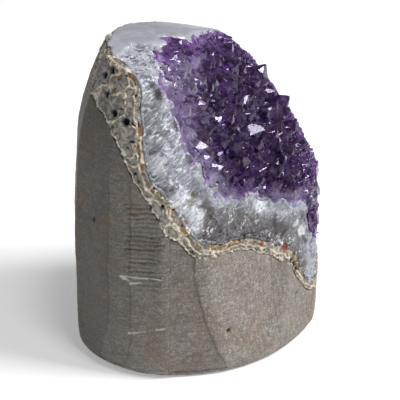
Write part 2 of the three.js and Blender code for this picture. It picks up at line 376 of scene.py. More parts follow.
def block_under(height, cells):
    """All that lies below a height over the bed's frame, as a closed block."""
    bm = bmesh.new()
    bmesh.ops.create_grid(bm, x_segments=cells, y_segments=cells, size=SPAN)
    for vert in bm.verts:
        vert.co.z = height(vert.co.x, vert.co.y)
    made = bmesh.ops.extrude_face_region(bm, geom=bm.faces[:])
    for part in made["geom"]:
        if isinstance(part, bmesh.types.BMVert):
            part.co.z = -DEEP
    bmesh.ops.recalc_face_normals(bm, faces=bm.faces)
    bm.transform(BED_FRAME)
    return bm


def apply_modifiers(made):
    """Bakes an object's modifiers into its mesh."""
    shown = made.evaluated_get(bpy.context.evaluated_depsgraph_get())
    mesh = bpy.data.meshes.new_from_object(shown)
    made.modifiers.clear()
    made.data = mesh
    return made


def cut_with(made, operand, operation):
    """Joins or cuts with an object or a collection, which is then removed."""
    modifier = made.modifiers.new("cut", "BOOLEAN")
    modifier.operation = operation
    modifier.solver = "MANIFOLD"
    if isinstance(operand, bpy.types.Collection):
        modifier.operand_type = "COLLECTION"
        modifier.collection = operand
    else:
        modifier.object = operand
    apply_modifiers(made)
    if isinstance(operand, bpy.types.Collection):
        for part in list(operand.objects):
            bpy.data.objects.remove(part)
        bpy.data.collections.remove(operand)
    else:
        bpy.data.objects.remove(operand)
    return made


def keep_largest(made):
    """Drops every loose bit but the largest body."""
    bm = opened(made)
    seen = set()
    islands = []
    for start in bm.verts:
        if start.index in seen:
            continue
        seen.add(start.index)
        island = [start]
        for vert in island:
            for edge in vert.link_edges:
                other = edge.other_vert(vert)
                if other.index not in seen:
                    seen.add(other.index)
                    island.append(other)
        islands.append(island)
    islands.sort(key=len)
    for island in islands[:-1]:
        bmesh.ops.delete(bm, geom=island, context="VERTS")
    stored(bm, made.data)
    return made


def remeshed(made, size):
    """Gives a form an even mesh that relief can be worked into."""
    modifier = made.modifiers.new("even", "REMESH")
    modifier.mode = "VOXEL"
    modifier.voxel_size = size * MM
    modifier.use_smooth_shade = True
    return apply_modifiers(made)


def refined(made, where):
    """Divides the faces finer where a test on a place in millimetres holds."""
    bm = opened(made)
    inside = {vert for vert in bm.verts if where(vert.co / MM)}
    edges = [edge for edge in bm.edges if edge.verts[0] in inside and edge.verts[1] in inside]
    bmesh.ops.subdivide_edges(bm, edges=edges, cuts=1, use_grid_fill=True)
    for face in bm.faces:
        face.smooth = True
    stored(bm, made.data)
    return made


def near_skin(place):
    """Whether a place lies near the stone's ground outside, or on the bed's bare rim."""
    u, v, w = TO_BED @ place
    on_rim = w > bed(u, v) - RIM_UNDER and rim_distance(u, v, w) < RIM_WITHIN
    return skin_depth(place, u, v, w) < SKIN or on_rim


def worked(made, marks, relief):
    """Moves each vertex along its normal and marks it, as relief says in millimetres for its place."""
    bm = opened(made)
    bm.normal_update()
    stores = [bm.verts.layers.float.new(mark) for mark in marks]
    moves = []
    for vert in bm.verts:
        move, values = relief(vert.co / MM, vert.normal)
        moves.append(vert.normal * move * MM)
        for store, value in zip(stores, values):
            vert[store] = value
    for vert, move in zip(bm.verts, moves):
        vert.co += move
    stored(bm, made.data)
    return made


def envelope():
    """The whole stone's outer form: the column under the crown's cut."""
    body = finish_mesh(column_form(turns=180, rise=2), "envelope")
    return cut_with(body, finish_mesh(block_under(crown_cut, CROWN_CELLS), "crown"), "INTERSECT")


def chip_depth(place):
    """How far a broken surface stands in at a place: flat chips at odd angles."""
    inside = place / CHIP_WIDTH
    site = noise.voronoi(inside)[1][0]
    facing = noise.noise_vector(site * 3.3)
    chip = 0.9 + 1.3 * noise.noise(site * 4.7) + 0.9 * CHIP_WIDTH * facing.dot(inside - site)
    return max(chip, 0.1)


def broken_envelope():
    """The envelope with its side broken rough, for the points that end there."""
    bm = column_form(turns=200, rise=1.5)
    for vert in bm.verts:
        if vert.co.z > 20 and hypot(vert.co.x, vert.co.y) > 5:
            bearing = atan2(vert.co.y, vert.co.x)
            keep = 1 - chip_depth(on_column(degrees(bearing), vert.co.z)) / hypot(vert.co.x, vert.co.y)
            vert.co.xy = vert.co.xy * keep
    body = finish_mesh(bm, "broken")
    top = block_under(lambda u, v: crown_cut(u, v) - chip_depth(Vector((u, v, 0))), ROUGH_CELLS)
    return cut_with(body, finish_mesh(top, "crown"), "INTERSECT")


def layer(name, top, floor_height):
    """A layer of the stone between two heights over the bed's frame."""
    body = envelope()
    body.name = name
    cut_with(body, finish_mesh(block_under(top, LAYER_CELLS), "top"), "INTERSECT")
    if floor_height:
        cut_with(body, finish_mesh(block_under(floor_height, LAYER_CELLS), "floor"), "DIFFERENCE")
    return keep_largest(body)


def side_depth(place):
    """How deep a place lies under the column's side."""
    return column_reach(atan2(place.y, place.x), place.z) - hypot(place.x, place.y)


def skin_depth(place, u, v, w):
    """How deep a place lies under the stone's ground outside."""
    return min(side_depth(place), crown_cut(u, v) - w)


def on_column(bearing, z):
    """The place on the column's side at a bearing in degrees and a height."""
    b = radians(bearing)
    reach = column_reach(b, z)
    return Vector((reach * cos(b), reach * sin(b), z))


def spot(places, place):
    """How much of the nearest of some round spots a place has: 1 in its middle, 0 from its rim on."""
    best = 0
    for middle, radius in places:
        share = 1 - (place - middle).length / (1.6 * radius)
        best = max(best, share)
    return smooth_step(0, 0.6, best)


def spots(listed):
    return [(on_column(bearing, z), radius) for bearing, z, radius in listed]


def unrolled(bearing, z):
    """A place on the column's side, by bearing in degrees and height, laid out flat."""
    return Vector((radians(bearing) * SIDE_REACH, z))


def scratch_distance(ends, here):
    """How far a place laid out flat is from a scratch, which thins towards its end."""
    a, b = ends
    along = min(max((here - a).dot(b - a) / (b - a).length_squared, 0), 1)
    return (here - a - (b - a) * along).length + 0.35 * along


def point_form(k, worn):
    """A six-sided quartz point of radius 1: prism below z = 0, six uneven end faces above, edges worn."""
    bm = bmesh.new()
    bmesh.ops.create_cone(bm, cap_ends=True, segments=6, radius1=1, radius2=1, depth=8)
    peak = cos(pi / 6) * tan(TIP_SLOPE)
    for side in range(6):
        bearing = radians(60 * side)
        normal = (cos(bearing) * sin(TIP_SLOPE), sin(bearing) * sin(TIP_SLOPE), cos(TIP_SLOPE))
        large = side % 2 == 0
        over = 0.1 * chance(k, side, 1) if large else between(0.03, 0.36, chance(k, side, 2))
        whole = bm.verts[:] + bm.edges[:] + bm.faces[:]
        top = (0, 0, peak + over)
        bmesh.ops.bisect_plane(bm, geom=whole, plane_co=top, plane_no=normal, clear_outer=True)
        rim = [edge for edge in bm.edges if edge.is_boundary]
        if rim:
            bmesh.ops.contextual_create(bm, geom=rim)
    upper = [edge for edge in bm.edges if max(vert.co.z for vert in edge.verts) > 0.1]
    bmesh.ops.bevel(bm, geom=upper, offset=worn, segments=1, profile=0.5, affect="EDGES", material=-1)
    bmesh.ops.recalc_face_normals(bm, faces=bm.faces)
    return stored(bm, bpy.data.meshes.new("point"))


def rim_distance(u, v, w):
    """How far in from the stone's outside a place on the bed lies."""
    place = BED_FRAME @ Vector((u, v, w))
    return skin_depth(place, u, v, w)


def edge_depth(bearing):
    """How deep the violet growth is at the rim, and below 0 where the quartz comes up bare."""
    after = bisect_right([b for b, depth in VIOLET_EDGE], bearing)
    (low, first), (high, last) = VIOLET_EDGE[after - 1], VIOLET_EDGE[after]
    return between(first, last, (bearing - low) / (high - low))


def crust_depth(u, v):
    """How thick the violet growth is."""
    w = bed(u, v)
    place = BED_FRAME @ Vector((u, v, w))
    bearing = bearing_of(place)
    site = noise.voronoi(Vector((u, v, 0)) / LOBE_WIDTH)[1][0]
    lobe = noise.noise(site * 3.9)
    inside = rim_distance(u, v, w) + 1.5 * lobe
    full = smooth_step(0.5, between(11, 16, plateau(bearing, *WIDE_RIM)), inside)
    return between(edge_depth(bearing) + 1.8 * lobe, 4.8, full) + dip(TONGUE, u, v)


def grown_points(name, crop, sink=None):
    """A collection of points on the bed, one for each place of a loose lattice, sunk by a depth."""
    worn = 2 * EDGE_WEAR / sum(crop["radii"])
    forms = [point_form(k, worn) for k in range(POINT_FORMS)]
    points = bpy.data.collections.new(name)
    bpy.context.scene.collection.children.link(points)
    spacing, seed = crop["spacing"], crop["seed"]
    last = ceil(SPAN / spacing)
    for j in range(-last, last + 1):
        for i in range(-last, last + 1):
            u = spacing * (i + 0.5 * fmod(j, 2) + 0.5 * (chance(i, j, seed + 5) - 0.5))
            v = spacing * (j * cos(pi / 6) + 0.5 * (chance(i, j, seed + 6) - 0.5))
            w = bed(u, v)
            far = smooth_step(-12, 12, u)
            grown_up = smooth_step(-1, between(RIM_REACH, 1.4 * RIM_REACH, far), rim_distance(u, v, w))
            stunted = crop["rim"] * between(1, crop["far"], far)
            radius = between(*crop["radii"], chance(i, j, seed + 1) ** 2) * between(stunted, 1, grown_up)
            if rim_distance(u, v, w) < -radius:
                continue
            rise = 0
            if chance(i, j, seed + 2) < PRISM_SHARE:
                rise = between(*crop["rises"], chance(i, j, seed + 10)) * grown_up
            sway = 4 * sin(radians(crop["lean"]))
            axis = Vector(
                (
                    bed(u - 1, v) - bed(u + 1, v) + sway * (chance(i, j, seed + 7) - 0.5),
                    bed(u, v - 1) - bed(u, v + 1) + sway * (chance(i, j, seed + 8) - 0.5),
                    2,
                )
            )
            stand = Vector((0, 0, 1)).rotation_difference(axis).to_matrix().to_4x4()
            turn = Matrix.Rotation(chance(i, j, seed + 9) * pi, 4, "Z")
            broad = between(0.8, 1, chance(i, j, seed + 3))
            grown = bpy.data.objects.new(name, forms[(i * 7 + j * 3 + seed) % len(forms)])
            drop = (sink(u, v) if sink else 0) + 0.25 * crop["radii"][1] * far * (1 - grown_up)
            grown.matrix_world = (
                Matrix.Diagonal((MM, MM, MM, 1))
                @ BED_FRAME
                @ Matrix.Translation((u, v, w - drop))
                @ stand
                @ turn
                @ Matrix.Translation((0, 0, rise))
                @ Matrix.Diagonal((radius, radius * broad, radius, 1))
            )
            points.objects.link(grown)
    return points


def quartz_growth(name, lowered):
    """The milky feet of the points, as a block that ends in blunt teeth under the violet growth."""
    block = block_under(lambda u, v: bed(u, v) - crust_depth(u, v) - lowered, GROWTH_CELLS)
    teeth = grown_points("teeth", COARSE, lambda u, v: crust_depth(u, v) + lowered)
    return cut_with(finish_mesh(block, name), teeth, "UNION")


# Materials


def colour(code):
    """An sRGB hex code as a linear colour."""
    parts = [int(code[k : k + 2], 16) / 255 for k in (1, 3, 5)]
    return (*((p / 12.92 if p <= 0.04045 else ((p + 0.055) / 1.055) ** 2.4) for p in parts), 1)


def add_node(material, kind, feeds=None, **settings):
    """Adds a node: settings are its own, and feeds are its sockets' values or what is linked to them."""
    tree = material.node_tree
    made = tree.nodes.new(kind)
    for name, value in settings.items():
        setattr(made, name, value)
    for name, value in (feeds or {}).items():
        if isinstance(value, bpy.types.NodeSocket):
            tree.links.new(value, made.inputs[name])
        else:
            made.inputs[name].default_value = value
    return made


def spread(material, value, low, high, first=0.0, last=1.0):
    """Maps a value to a mask: first at low, last at high, and no further."""
    feeds = {"Value": value, "From Min": low, "From Max": high, "To Min": first, "To Max": last}
    return add_node(material, "ShaderNodeMapRange", feeds).outputs["Result"]


def blotches(material, place, size, low=0.35, high=0.65, most=1.0, detail=3):
    """Soft patches about size millimetres wide, as a mask from 0 to most."""
    feeds = {"Vector": place, "Scale": 1 / (size * MM), "Detail": detail}
    cloud = add_node(material, "ShaderNodeTexNoise", feeds).outputs["Fac"]
    return spread(material, cloud, low, high, 0, most)


def marked(material, mark, low=0.0, high=1.0, first=0.0, last=1.0):
    """A mark of the mesh as a mask: first at its value low, last at its value high."""
    read = add_node(material, "ShaderNodeAttribute", attribute_name=mark)
    return spread(material, read.outputs["Fac"], low, high, first, last)


def shifted(material, place, size, reach):
    """Places moved about by up to reach millimetres, so that no pattern keeps straight edges."""
    feeds = {"Vector": place, "Scale": 1 / (size * MM), "Detail": 2}
    cloud = add_node(material, "ShaderNodeTexNoise", feeds).outputs["Color"]
    feeds = {0: cloud, 1: (2 * reach * MM,) * 3, 2: place}
    return add_node(material, "ShaderNodeVectorMath", feeds, operation="MULTIPLY_ADD").outputs[0]


def grains(material, place, size):
    """Angular grains about size millimetres wide: a random value and a random colour for each."""
    cells = add_node(material, "ShaderNodeTexVoronoi", {"Vector": place, "Scale": 1 / (size * MM)})
    parts = add_node(material, "ShaderNodeSeparateColor", {"Color": cells.outputs["Color"]})
    return parts.outputs[0], cells.outputs["Color"]


def grain_edges(material, place, size, width):
    """The seams between grains, as a mask; width is a share of the grain's."""
    feeds = {"Vector": place, "Scale": 1 / (size * MM)}
    cells = add_node(material, "ShaderNodeTexVoronoi", feeds, feature="DISTANCE_TO_EDGE")
    return spread(material, cells.outputs["Distance"], 0.2 * width, width, 1, 0)


def faceted(material, facing, strength):
    """The surface's normal, tilted to each grain's own facing."""
    feeds = {0: facing, 1: (0.5, 0.5, 0.5)}
    middle = add_node(material, "ShaderNodeVectorMath", feeds, operation="SUBTRACT").outputs[0]
    feeds = {0: middle, "Scale": strength}
    tilt = add_node(material, "ShaderNodeVectorMath", feeds, operation="SCALE").outputs[0]
    feeds = {0: tilt, 1: add_node(material, "ShaderNodeNewGeometry").outputs["Normal"]}
    tilted = add_node(material, "ShaderNodeVectorMath", feeds, operation="ADD").outputs[0]
    return add_node(material, "ShaderNodeVectorMath", {0: tilted}, operation="NORMALIZE").outputs[0]


def product(material, mask, *others):
    """The product of some masks."""
    for other in others:
        mask = add_node(material, "ShaderNodeMath", {0: mask, 1: other}, operation="MULTIPLY").outputs[0]
    return mask


def painted(material, base, *coats):
    """Lays coats of colour over a base, each through its mask."""
    for mask, coat in coats:
        feeds = {0: mask, 6: base, 7: coat}
        base = add_node(material, "ShaderNodeMix", feeds, data_type="RGBA").outputs[2]
    return base


def new_material(name):
    """An empty node material and its object coordinates."""
    made = bpy.data.materials.new(name)
    made.use_nodes = True
    made.node_tree.nodes.clear()
    return made, add_node(made, "ShaderNodeTexCoord").outputs["Object"]


def close(material, surface, inside=None):
    """Links a finished surface, and what fills the body, to the material's output."""
    feeds = {"Surface": surface, "Volume": inside} if inside else {"Surface": surface}
    add_node(material, "ShaderNodeOutputMaterial", feeds)
    return material


def solid(material, shade, roughness, height, strength, depth, facing, more=None):
    """Closes a material with a surface roughened by a height of up to depth millimetres."""
    feeds = {"Height": height, "Strength": strength, "Distance": depth * MM, "Normal": facing}
    bump = add_node(material, "ShaderNodeBump", feeds).outputs[0]
    feeds = {"Base Color": shade, "Roughness": roughness, "Normal": bump, **(more or {})}
    return close(material, add_node(material, "ShaderNodeBsdfPrincipled", feeds).outputs[0])


def ground_basalt(looks):
    """Fine-grained basalt, ground with a coarse wheel: dull, grey-brown and speckled, ridged by the saw."""
    made, place = new_material("ground_basalt")
    upright = add_node(made, "ShaderNodeMapping", {"Vector": place, "Scale": (1, 1, 0.13)}).outputs[0]
    value, facing = grains(made, shifted(made, place, 1, 0.3), 0.55)
    level = add_node(made, "ShaderNodeMapping", {"Vector": place, "Scale": (0.13, 0.13, 1)}).outputs[0]
    ruts = blotches(made, level, 0.8, 0.48, 0.68, detail=2)
    dust = blotches(made, level, 0.7, 0.54, 0.7, detail=3)
    lines = product(made, blotches(made, upright, 0.6, 0.42, 0.72, detail=2), marked(made, "combed"))
    shade = painted(
        made,
        looks.basalt,
        (blotches(made, place, 11, 0.4, 0.62, 0.5, 4), looks.basalt_dark),
        (blotches(made, place, 34, 0.45, 0.6, 0.5), looks.basalt_warm),
        (blotches(made, place, 2.2, 0.45, 0.7, 0.5, 4), looks.basalt_dark),
        (spread(made, value, 0.55, 0.05, 0, 0.55), looks.basalt_dark),
        (spread(made, value, 0.7, 1, 0, 0.35), looks.basalt_pale),
        (product(made, lines, 0.2), looks.basalt_pale),
        (product(made, ruts, marked(made, "combed", 0, 1, 0.38, 0)), looks.basalt_black_and_shade),
        (product(made, dust, marked(made, "combed", 0, 1, 0.28, 0)), looks.basalt_pale),
        # Each stroke's darkness: partly its own tone, partly painted shade on the strokes that face away
        # from the lamps
        (marked(made, "dark", 0, 1, 0, 0.65), looks.basalt_black_and_shade),
        # Painted shade in the saw's grooves, darkest where they are cut deepest
        (marked(made, "sawn", 0.25, 1, 0, 0.4), looks.basalt_black_and_shade),
        # Painted shadow along each stroke's border, where one ground stroke stands over the next
        (marked(made, "edge", 0.2, 1, 0, 0.55), looks.basalt_black_and_shade),
        (marked(made, "scratch", 0.1, 0.7, 0, 0.9), looks.basalt_pale),
        (blotches(made, place, 9, 0.5, 0.72, 0.2), looks.carnelian),
        (marked(made, "moss", 0, 1, 0, 0.85), looks.moss),
        # Painted shade on the floors of the vugs
        (marked(made, "pit", 0.35, 1, 0, 0.9), looks.pit_shade),
    )
    rough = blotches(made, place, 0.6, 0.3, 0.7, detail=3)
    tilted = faceted(made, facing, 0.35)
    return solid(made, shade, roughness=0.66, height=rough, strength=0.6, depth=0.16, facing=tilted)


def weathered_agate(looks):
    """Agate and clay-like rind: cream knobbly seams round dull grey lenses, stained beside the quartz."""
    made, place = new_material("weathered_agate")
    speck = blotches(made, place, 0.6, 0.38, 0.64, detail=3)
    value, facing = grains(made, shifted(made, place, 1.5, 0.4), 0.9)
    beside = marked(made, "near", 0.2, 0.9)
    shade = painted(
        made,
        looks.lens,
        (blotches(made, place, 5, 0.46, 0.6, 0.5), looks.tan),
        (blotches(made, place, 1.1, 0.48, 0.64, 0.75), looks.umber_and_shade),
        (spread(made, value, 0.3, 0, 0, 0.5), looks.umber_and_shade),
        # Painted shade along the foot of each raised seam
        (marked(made, "seam_shade", 0.1, 0.9, 0, 0.6), looks.umber_and_shade),
        (product(made, beside, blotches(made, place, 6, 0.45, 0.6)), looks.carnelian),
        (product(made, beside, blotches(made, place, 4, 0.58, 0.66)), looks.moss),
        (product(made, marked(made, "crest", 0.2, 0.6), spread(made, value, 0, 0.6, 0.25)), looks.cream),
        (product(made, marked(made, "crest", 0.2, 0.6), spread(made, value, 0.85, 1, 0, 0.7)), looks.frost),
        (marked(made, "crest", 0.75, 1.1, 0, 0.85), looks.cream),
        (marked(made, "rust", 0, 1, 0, 0.95), looks.rust),
        (marked(made, "moss", 0, 1, 0, 0.9), looks.moss),
        # Painted shade on the floors of the pits and pores
        (marked(made, "pit", 0.15, 0.8), looks.pit_shade),
    )
    tilted = faceted(made, facing, marked(made, "crest", 0, 0.6, 0.15, 0.6))
    roughness = marked(made, "near", 0, 1, 0.72, 0.4)
    return solid(made, shade, roughness, height=speck, strength=0.8, depth=0.25, facing=tilted)


def milky_quartz(looks):
    """Broken and ground milky quartz: frosty white grains and seams over a greyer, see-deep body."""
    made, place = new_material("milky_quartz")
    feeds = {"Vector": place, "Rotation": (pi / 2 - BED_FACES, 0, 0), "Scale": (1, 1, 4.5)}
    grown = add_node(made, "ShaderNodeMapping", feeds, vector_type="TEXTURE").outputs[0]
    loose = shifted(made, grown, 3, 0.8)
    value, facing = grains(made, loose, 0.6)
    drifting = shifted(made, grown, 4, 1.2)
    column = grains(made, drifting, 4.2)[0]
    column_edges = grain_edges(made, drifting, 4.2, 0.1)
    fine = blotches(made, place, 0.6, 0.44, 0.64, detail=3)
    fibres = blotches(made, grown, 1.1, 0.42, 0.62, detail=3)
    speck = product(made, spread(made, value, 0.8, 0.9), blotches(made, place, 5, 0.45, 0.6))
    rough = marked(made, "rough")
    columns = marked(made, "column")
    open_ground = marked(made, "smoky", 0, 1, 1, 0.4)
    crushed = marked(made, "column", 0, 1, 1, 0.3)
    white = marked(made, "white", 0, 1, 0, 0.75)
    polish = marked(made, "polish")
    loose_ground = product(made, rough, open_ground, crushed)
    bright = product(made, loose_ground, spread(made, value, 0.5, 1))
    shade = painted(
        made,
        looks.quartz,
        (blotches(made, place, 6, 0.42, 0.6, 0.85, 4), looks.quartz_grey),
        (product(made, loose_ground, spread(made, value, 0.4, 0, 0, 0.6)), looks.quartz_grey),
        (product(made, columns, spread(made, column, 0.6, 0.3, 0.2, 1)), looks.quartz_grey),
        (product(made, fibres, 0.6), looks.quartz_pale),
        (marked(made, "lilac", 0, 1, 0, 0.65), looks.lilac),
        (product(made, columns, 0.78), looks.quartz_grey),
        (product(made, columns, spread(made, column, 0.55, 0.75, 0, 0.4)), looks.quartz_pale),
        (marked(made, "smoky", 0, 1, 0, 0.95), looks.smoky),
        (product(made, bright, blotches(made, place, 2.5, 0.3, 0.55)), looks.frost),
        (product(made, columns, open_ground, column_edges, fine), looks.quartz_pale),
        (product(made, columns, speck, marked(made, "smoky", 0.3, 0.7, 0.1, 0.6)), looks.frost),
        (product(made, white, spread(made, value, 0, 0.5, 0.3)), looks.frost),
        (marked(made, "polish", 0, 1, 0, 0.8), looks.crown),
        (product(made, polish, blotches(made, place, 7, 0.45, 0.75, 0.5)), looks.quartz_pale),
        (marked(made, "band", 0, 1, 0, 0.85), looks.chalcedony),
        (marked(made, "stone", 0, 1, 0, 0.9), looks.lens),
        (marked(made, "rust", 0, 1, 0, 0.8), looks.rust),
        (marked(made, "moss", 0, 1, 0, 0.6), looks.moss),
    )
    tilted = faceted(made, facing, loose_ground)
    more = {
        "IOR": QUARTZ_IOR,
        "Subsurface Weight": 0.2,
        "Subsurface Radius": (1, 1, 1),
        "Subsurface Scale": 1.6 * MM,
    }
    roughness = marked(made, "rough", 0, 1, 0.24, 0.3)
    return solid(made, shade, roughness, height=fine, strength=rough, depth=0.12, facing=tilted, more=more)


def clear_amethyst(looks):
    """Clear quartz that takes its violet from depth, so deep points are dark, and milky where veiled."""
    made, place = new_material("clear_amethyst")
    milky = marked(made, "veil")
    value = grains(made, shifted(made, place, 3, 0.5), 2.4)[0]
    tint = painted(
        made,
        looks.violet_glass,
        (spread(made, value, 0.5, 1, 0, 0.6), looks.zone),
        (spread(made, value, 0.5, 0, 0, 0.6), looks.violet_deep),
        (blotches(made, place, 2.6, 0.5, 0.6, 0.7), looks.zone),
        (blotches(made, place, 1.8, 0.48, 0.6, 0.8), looks.violet_deep),
        (blotches(made, place, 8, 0.55, 0.68, 0.6), looks.garnet),
        (milky, looks.lilac),
    )
    feeds = {
        "Base Color": tint,
        "Roughness": 0.03,
        "IOR": QUARTZ_IOR,
        "Specular IOR Level": 0.3,
        "Specular Tint": looks.glint,
        "Transmission Weight": spread(made, milky, 0, 1, 0.9, 0.55),
    }
    crystal = add_node(made, "ShaderNodeBsdfPrincipled", feeds)
    # Lamps shine through to the quartz under the points
    path = add_node(made, "ShaderNodeLightPath")
    clear = add_node(made, "ShaderNodeBsdfTransparent")
    feeds = {0: path.outputs["Is Shadow Ray"], 1: crystal.outputs[0], 2: clear.outputs[0]}
    surface = add_node(made, "ShaderNodeMixShader", feeds)
    feeds = {"Color": looks.violet, "Density": looks.violet_depth}
    depth = add_node(made, "ShaderNodeVolumeAbsorption", feeds)
    return close(made, surface.outputs[0], depth.outputs[0])


def plain_floor(looks):
    """Plain pale floor."""
    made = new_material("plain_floor")[0]
    feeds = {"Base Color": looks.floor, "Roughness": 0.6}
    feeds |= {"Emission Color": looks.floor, "Emission Strength": FLOOR_GLOW}
    return close(made, add_node(made, "ShaderNodeBsdfPrincipled", feeds).outputs[0])


def dress(made, material, node):
    """Gives a piece its material and its body, and hides the CAD node that it stands for."""
    made.data.materials.clear()
    made.data.materials.append(material)
    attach(made, "root")
    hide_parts(node)


def veil(place, normal):
    """Where the crust is milky: along the bed's left and lower rims."""
    u, v, w = TO_BED @ place
    bearing = bearing_of(place)
    left = plateau(bearing, *MILKY_LEFT)
    low = plateau(bearing, *MILKY_LOW)
    within = between(3, 12, left) + 4 * noise.noise(place / 6)
    share = 1 - smooth_step(0.2 * within, within, rim_distance(u, v, bed(u, v)))
    return 0, (share * max(left, 0.6 * low) * between(0.5, 1, noise.noise(place / 3) + 0.5),)


# Reliefs: each gives how far a place moves out, in millimetres, and its marks


def stroke_at(bearing, z, reach):
    """The depth and darkness of the grinder's stroke at a place, and how near its border is."""
    starts = [between(top, foot, max(1 - z / flare, 0) ** 2) for top, foot, flare, depth, dark in STROKES]
    here = bisect_right(starts, bearing) - 1
    following = (here + 1) % len(starts)
    past = (bearing - starts[here]) % 360
    left = (starts[following] - bearing) % 360
    other = here - 1 if past < left else following
    away = radians(min(past, left)) * reach
    share = 0.5 + 0.5 * smooth_step(0, 0.45, away)
    depth = between(STROKES[other][3], STROKES[here][3], share)
    dark = between(STROKES[other][4], STROKES[here][4], share)
    return depth, dark, away


def saw_ridge(bearing, place):
    """How deep the saw's ridges are at a place: each ridge has its own depth and ends."""
    phase = place.z / SAW_PITCH + 0.35 * noise.noise(place / 6) - 0.05 * (bearing - SAW_FROM)
    ridge = floor(phase)
    start = SAW_FROM + 3 * chance(ridge, 1, 5)
    end = SAW_TO - 8 * chance(ridge, 2, 5) ** 2
    along = plateau(bearing, start - 0.6, start + 0.6, end - 1.5, end)
    high = plateau(place.z, SAW_LOW - 2, SAW_LOW + 8, SAW_HIGH - 3, SAW_HIGH)
    slope = 1 - smooth_step(0, 0.75, phase - ridge)
    return along * high * between(0.45, 1, chance(ridge, 3, 5)) * slope


def basalt_relief():
    vugs = spots(VUGS)
    scratches = [(unrolled(*a), unrolled(*b)) for a, b in SCRATCHES]

    def relief(place, normal):
        if normal.z < -0.6 or normal.z > 0.9:
            return 0, (0, 0, 0, 0, 0, 0, 0)
        around = atan2(place.y, place.x)
        bearing = degrees(around) % 360
        reach, next_reach = reaches_at(around, place.z)[:2]
        wander = 1.6 * noise.noise(Vector((0, 0, place.z / 9))) + 0.5 * noise.noise(place / 2)
        depth, dark, away = stroke_at(bearing + wander, place.z, reach)
        sawn = saw_ridge(bearing, place)
        move = 0.2 * noise.noise(place / 13) + 0.1 * noise.noise(place / 2.6) - depth
        move -= HOLLOW_GROUND * smooth_step(0, 2.4, next_reach - reach) + SAW_DEPTH * sawn
        pit = spot(vugs, place)
        moss = smooth_step(0.02, 0.3, pit)
        near = min(scratch_distance(ends, unrolled(bearing, place.z)) for ends in scratches)
        scratch = 1 - smooth_step(0.15, 0.6 + 0.3 * noise.noise(place / 2), near)
        move -= 0.8 * pit + 0.15 * scratch
        move *= smooth_step(0, 2, place.z)
        combed = plateau(bearing, *COMBED)
        # Painted shadow along each stroke's border, where one ground stroke stands over the next
        edge = 1 - smooth_step(0.15, 0.55, away)
        return move, (sawn, scratch, moss, pit, dark, combed, edge)

    return relief


def finer_basalt(place):
    """Where the basalt's marks need a finer mesh."""
    outside = hypot(place.x, place.y) > 30 and 0.5 < place.z < MARKED_UNDER
    return outside and MARKED_FROM < bearing_of(place) < MARKED_TO


def rind_relief():
    holes = spots(HOLES)
    rusts = spots(RUST_SPOTS)
    mosses = spots(MOSS_SPOTS)

    def relief(place, normal):
        u, v, w = TO_BED @ place
        skin = 1 - smooth_step(0.4, 1.4, skin_depth(place, u, v, w))
        below = quartz_floor(u, v) - w
        above = w - rind_floor(u, v)
        wobble = noise.noise(place / 2.4)
        bead = noise.noise(place / 0.9)
        host_line = exp(-(((above - 0.6 - 0.5 * wobble) / 0.4) ** 2))
        quartz_line = exp(-(((below - 1.7 - 0.9 * wobble) / 0.42) ** 2))
        drift = noise.noise_vector(place / 4) * 2.6
        near, next_near = noise.voronoi((place + drift) / LENS_WIDTH)[0][:2]
        seam = exp(-(((next_near - near) / 0.075) ** 2)) * smooth_step(3.2, 5, below + above)
        thin = 0.5 - 0.5 * smooth_step(3, 5.5, below + above)
        crest = max(host_line, quartz_line, seam, thin + 0.4 * wobble) * (0.8 + 0.6 * bead)
        pit = spot(holes, place)
        pore = smooth_step(0.42, 0.6, noise.noise(place / 1.6 + Vector((9, 4, 2))))
        pit = max(pit, 0.7 * pore * (1 - min(crest, 1)))
        move = 0.5 * min(crest, 1.2) + 0.35 * bead - 0.5 + 0.5 * wobble - 2.2 * pit
        beside = 1 - smooth_step(0.6, 2.2 + wobble, below)
        # Painted shade on the flanks at the foot of each raised seam
        edge = 1 - smooth_step(0.0, 0.55, abs(crest - 0.28)) if crest > 0.05 else 0
        return skin * move, (crest, edge, beside, pit, spot(rusts, place), spot(mosses, place))

    return relief


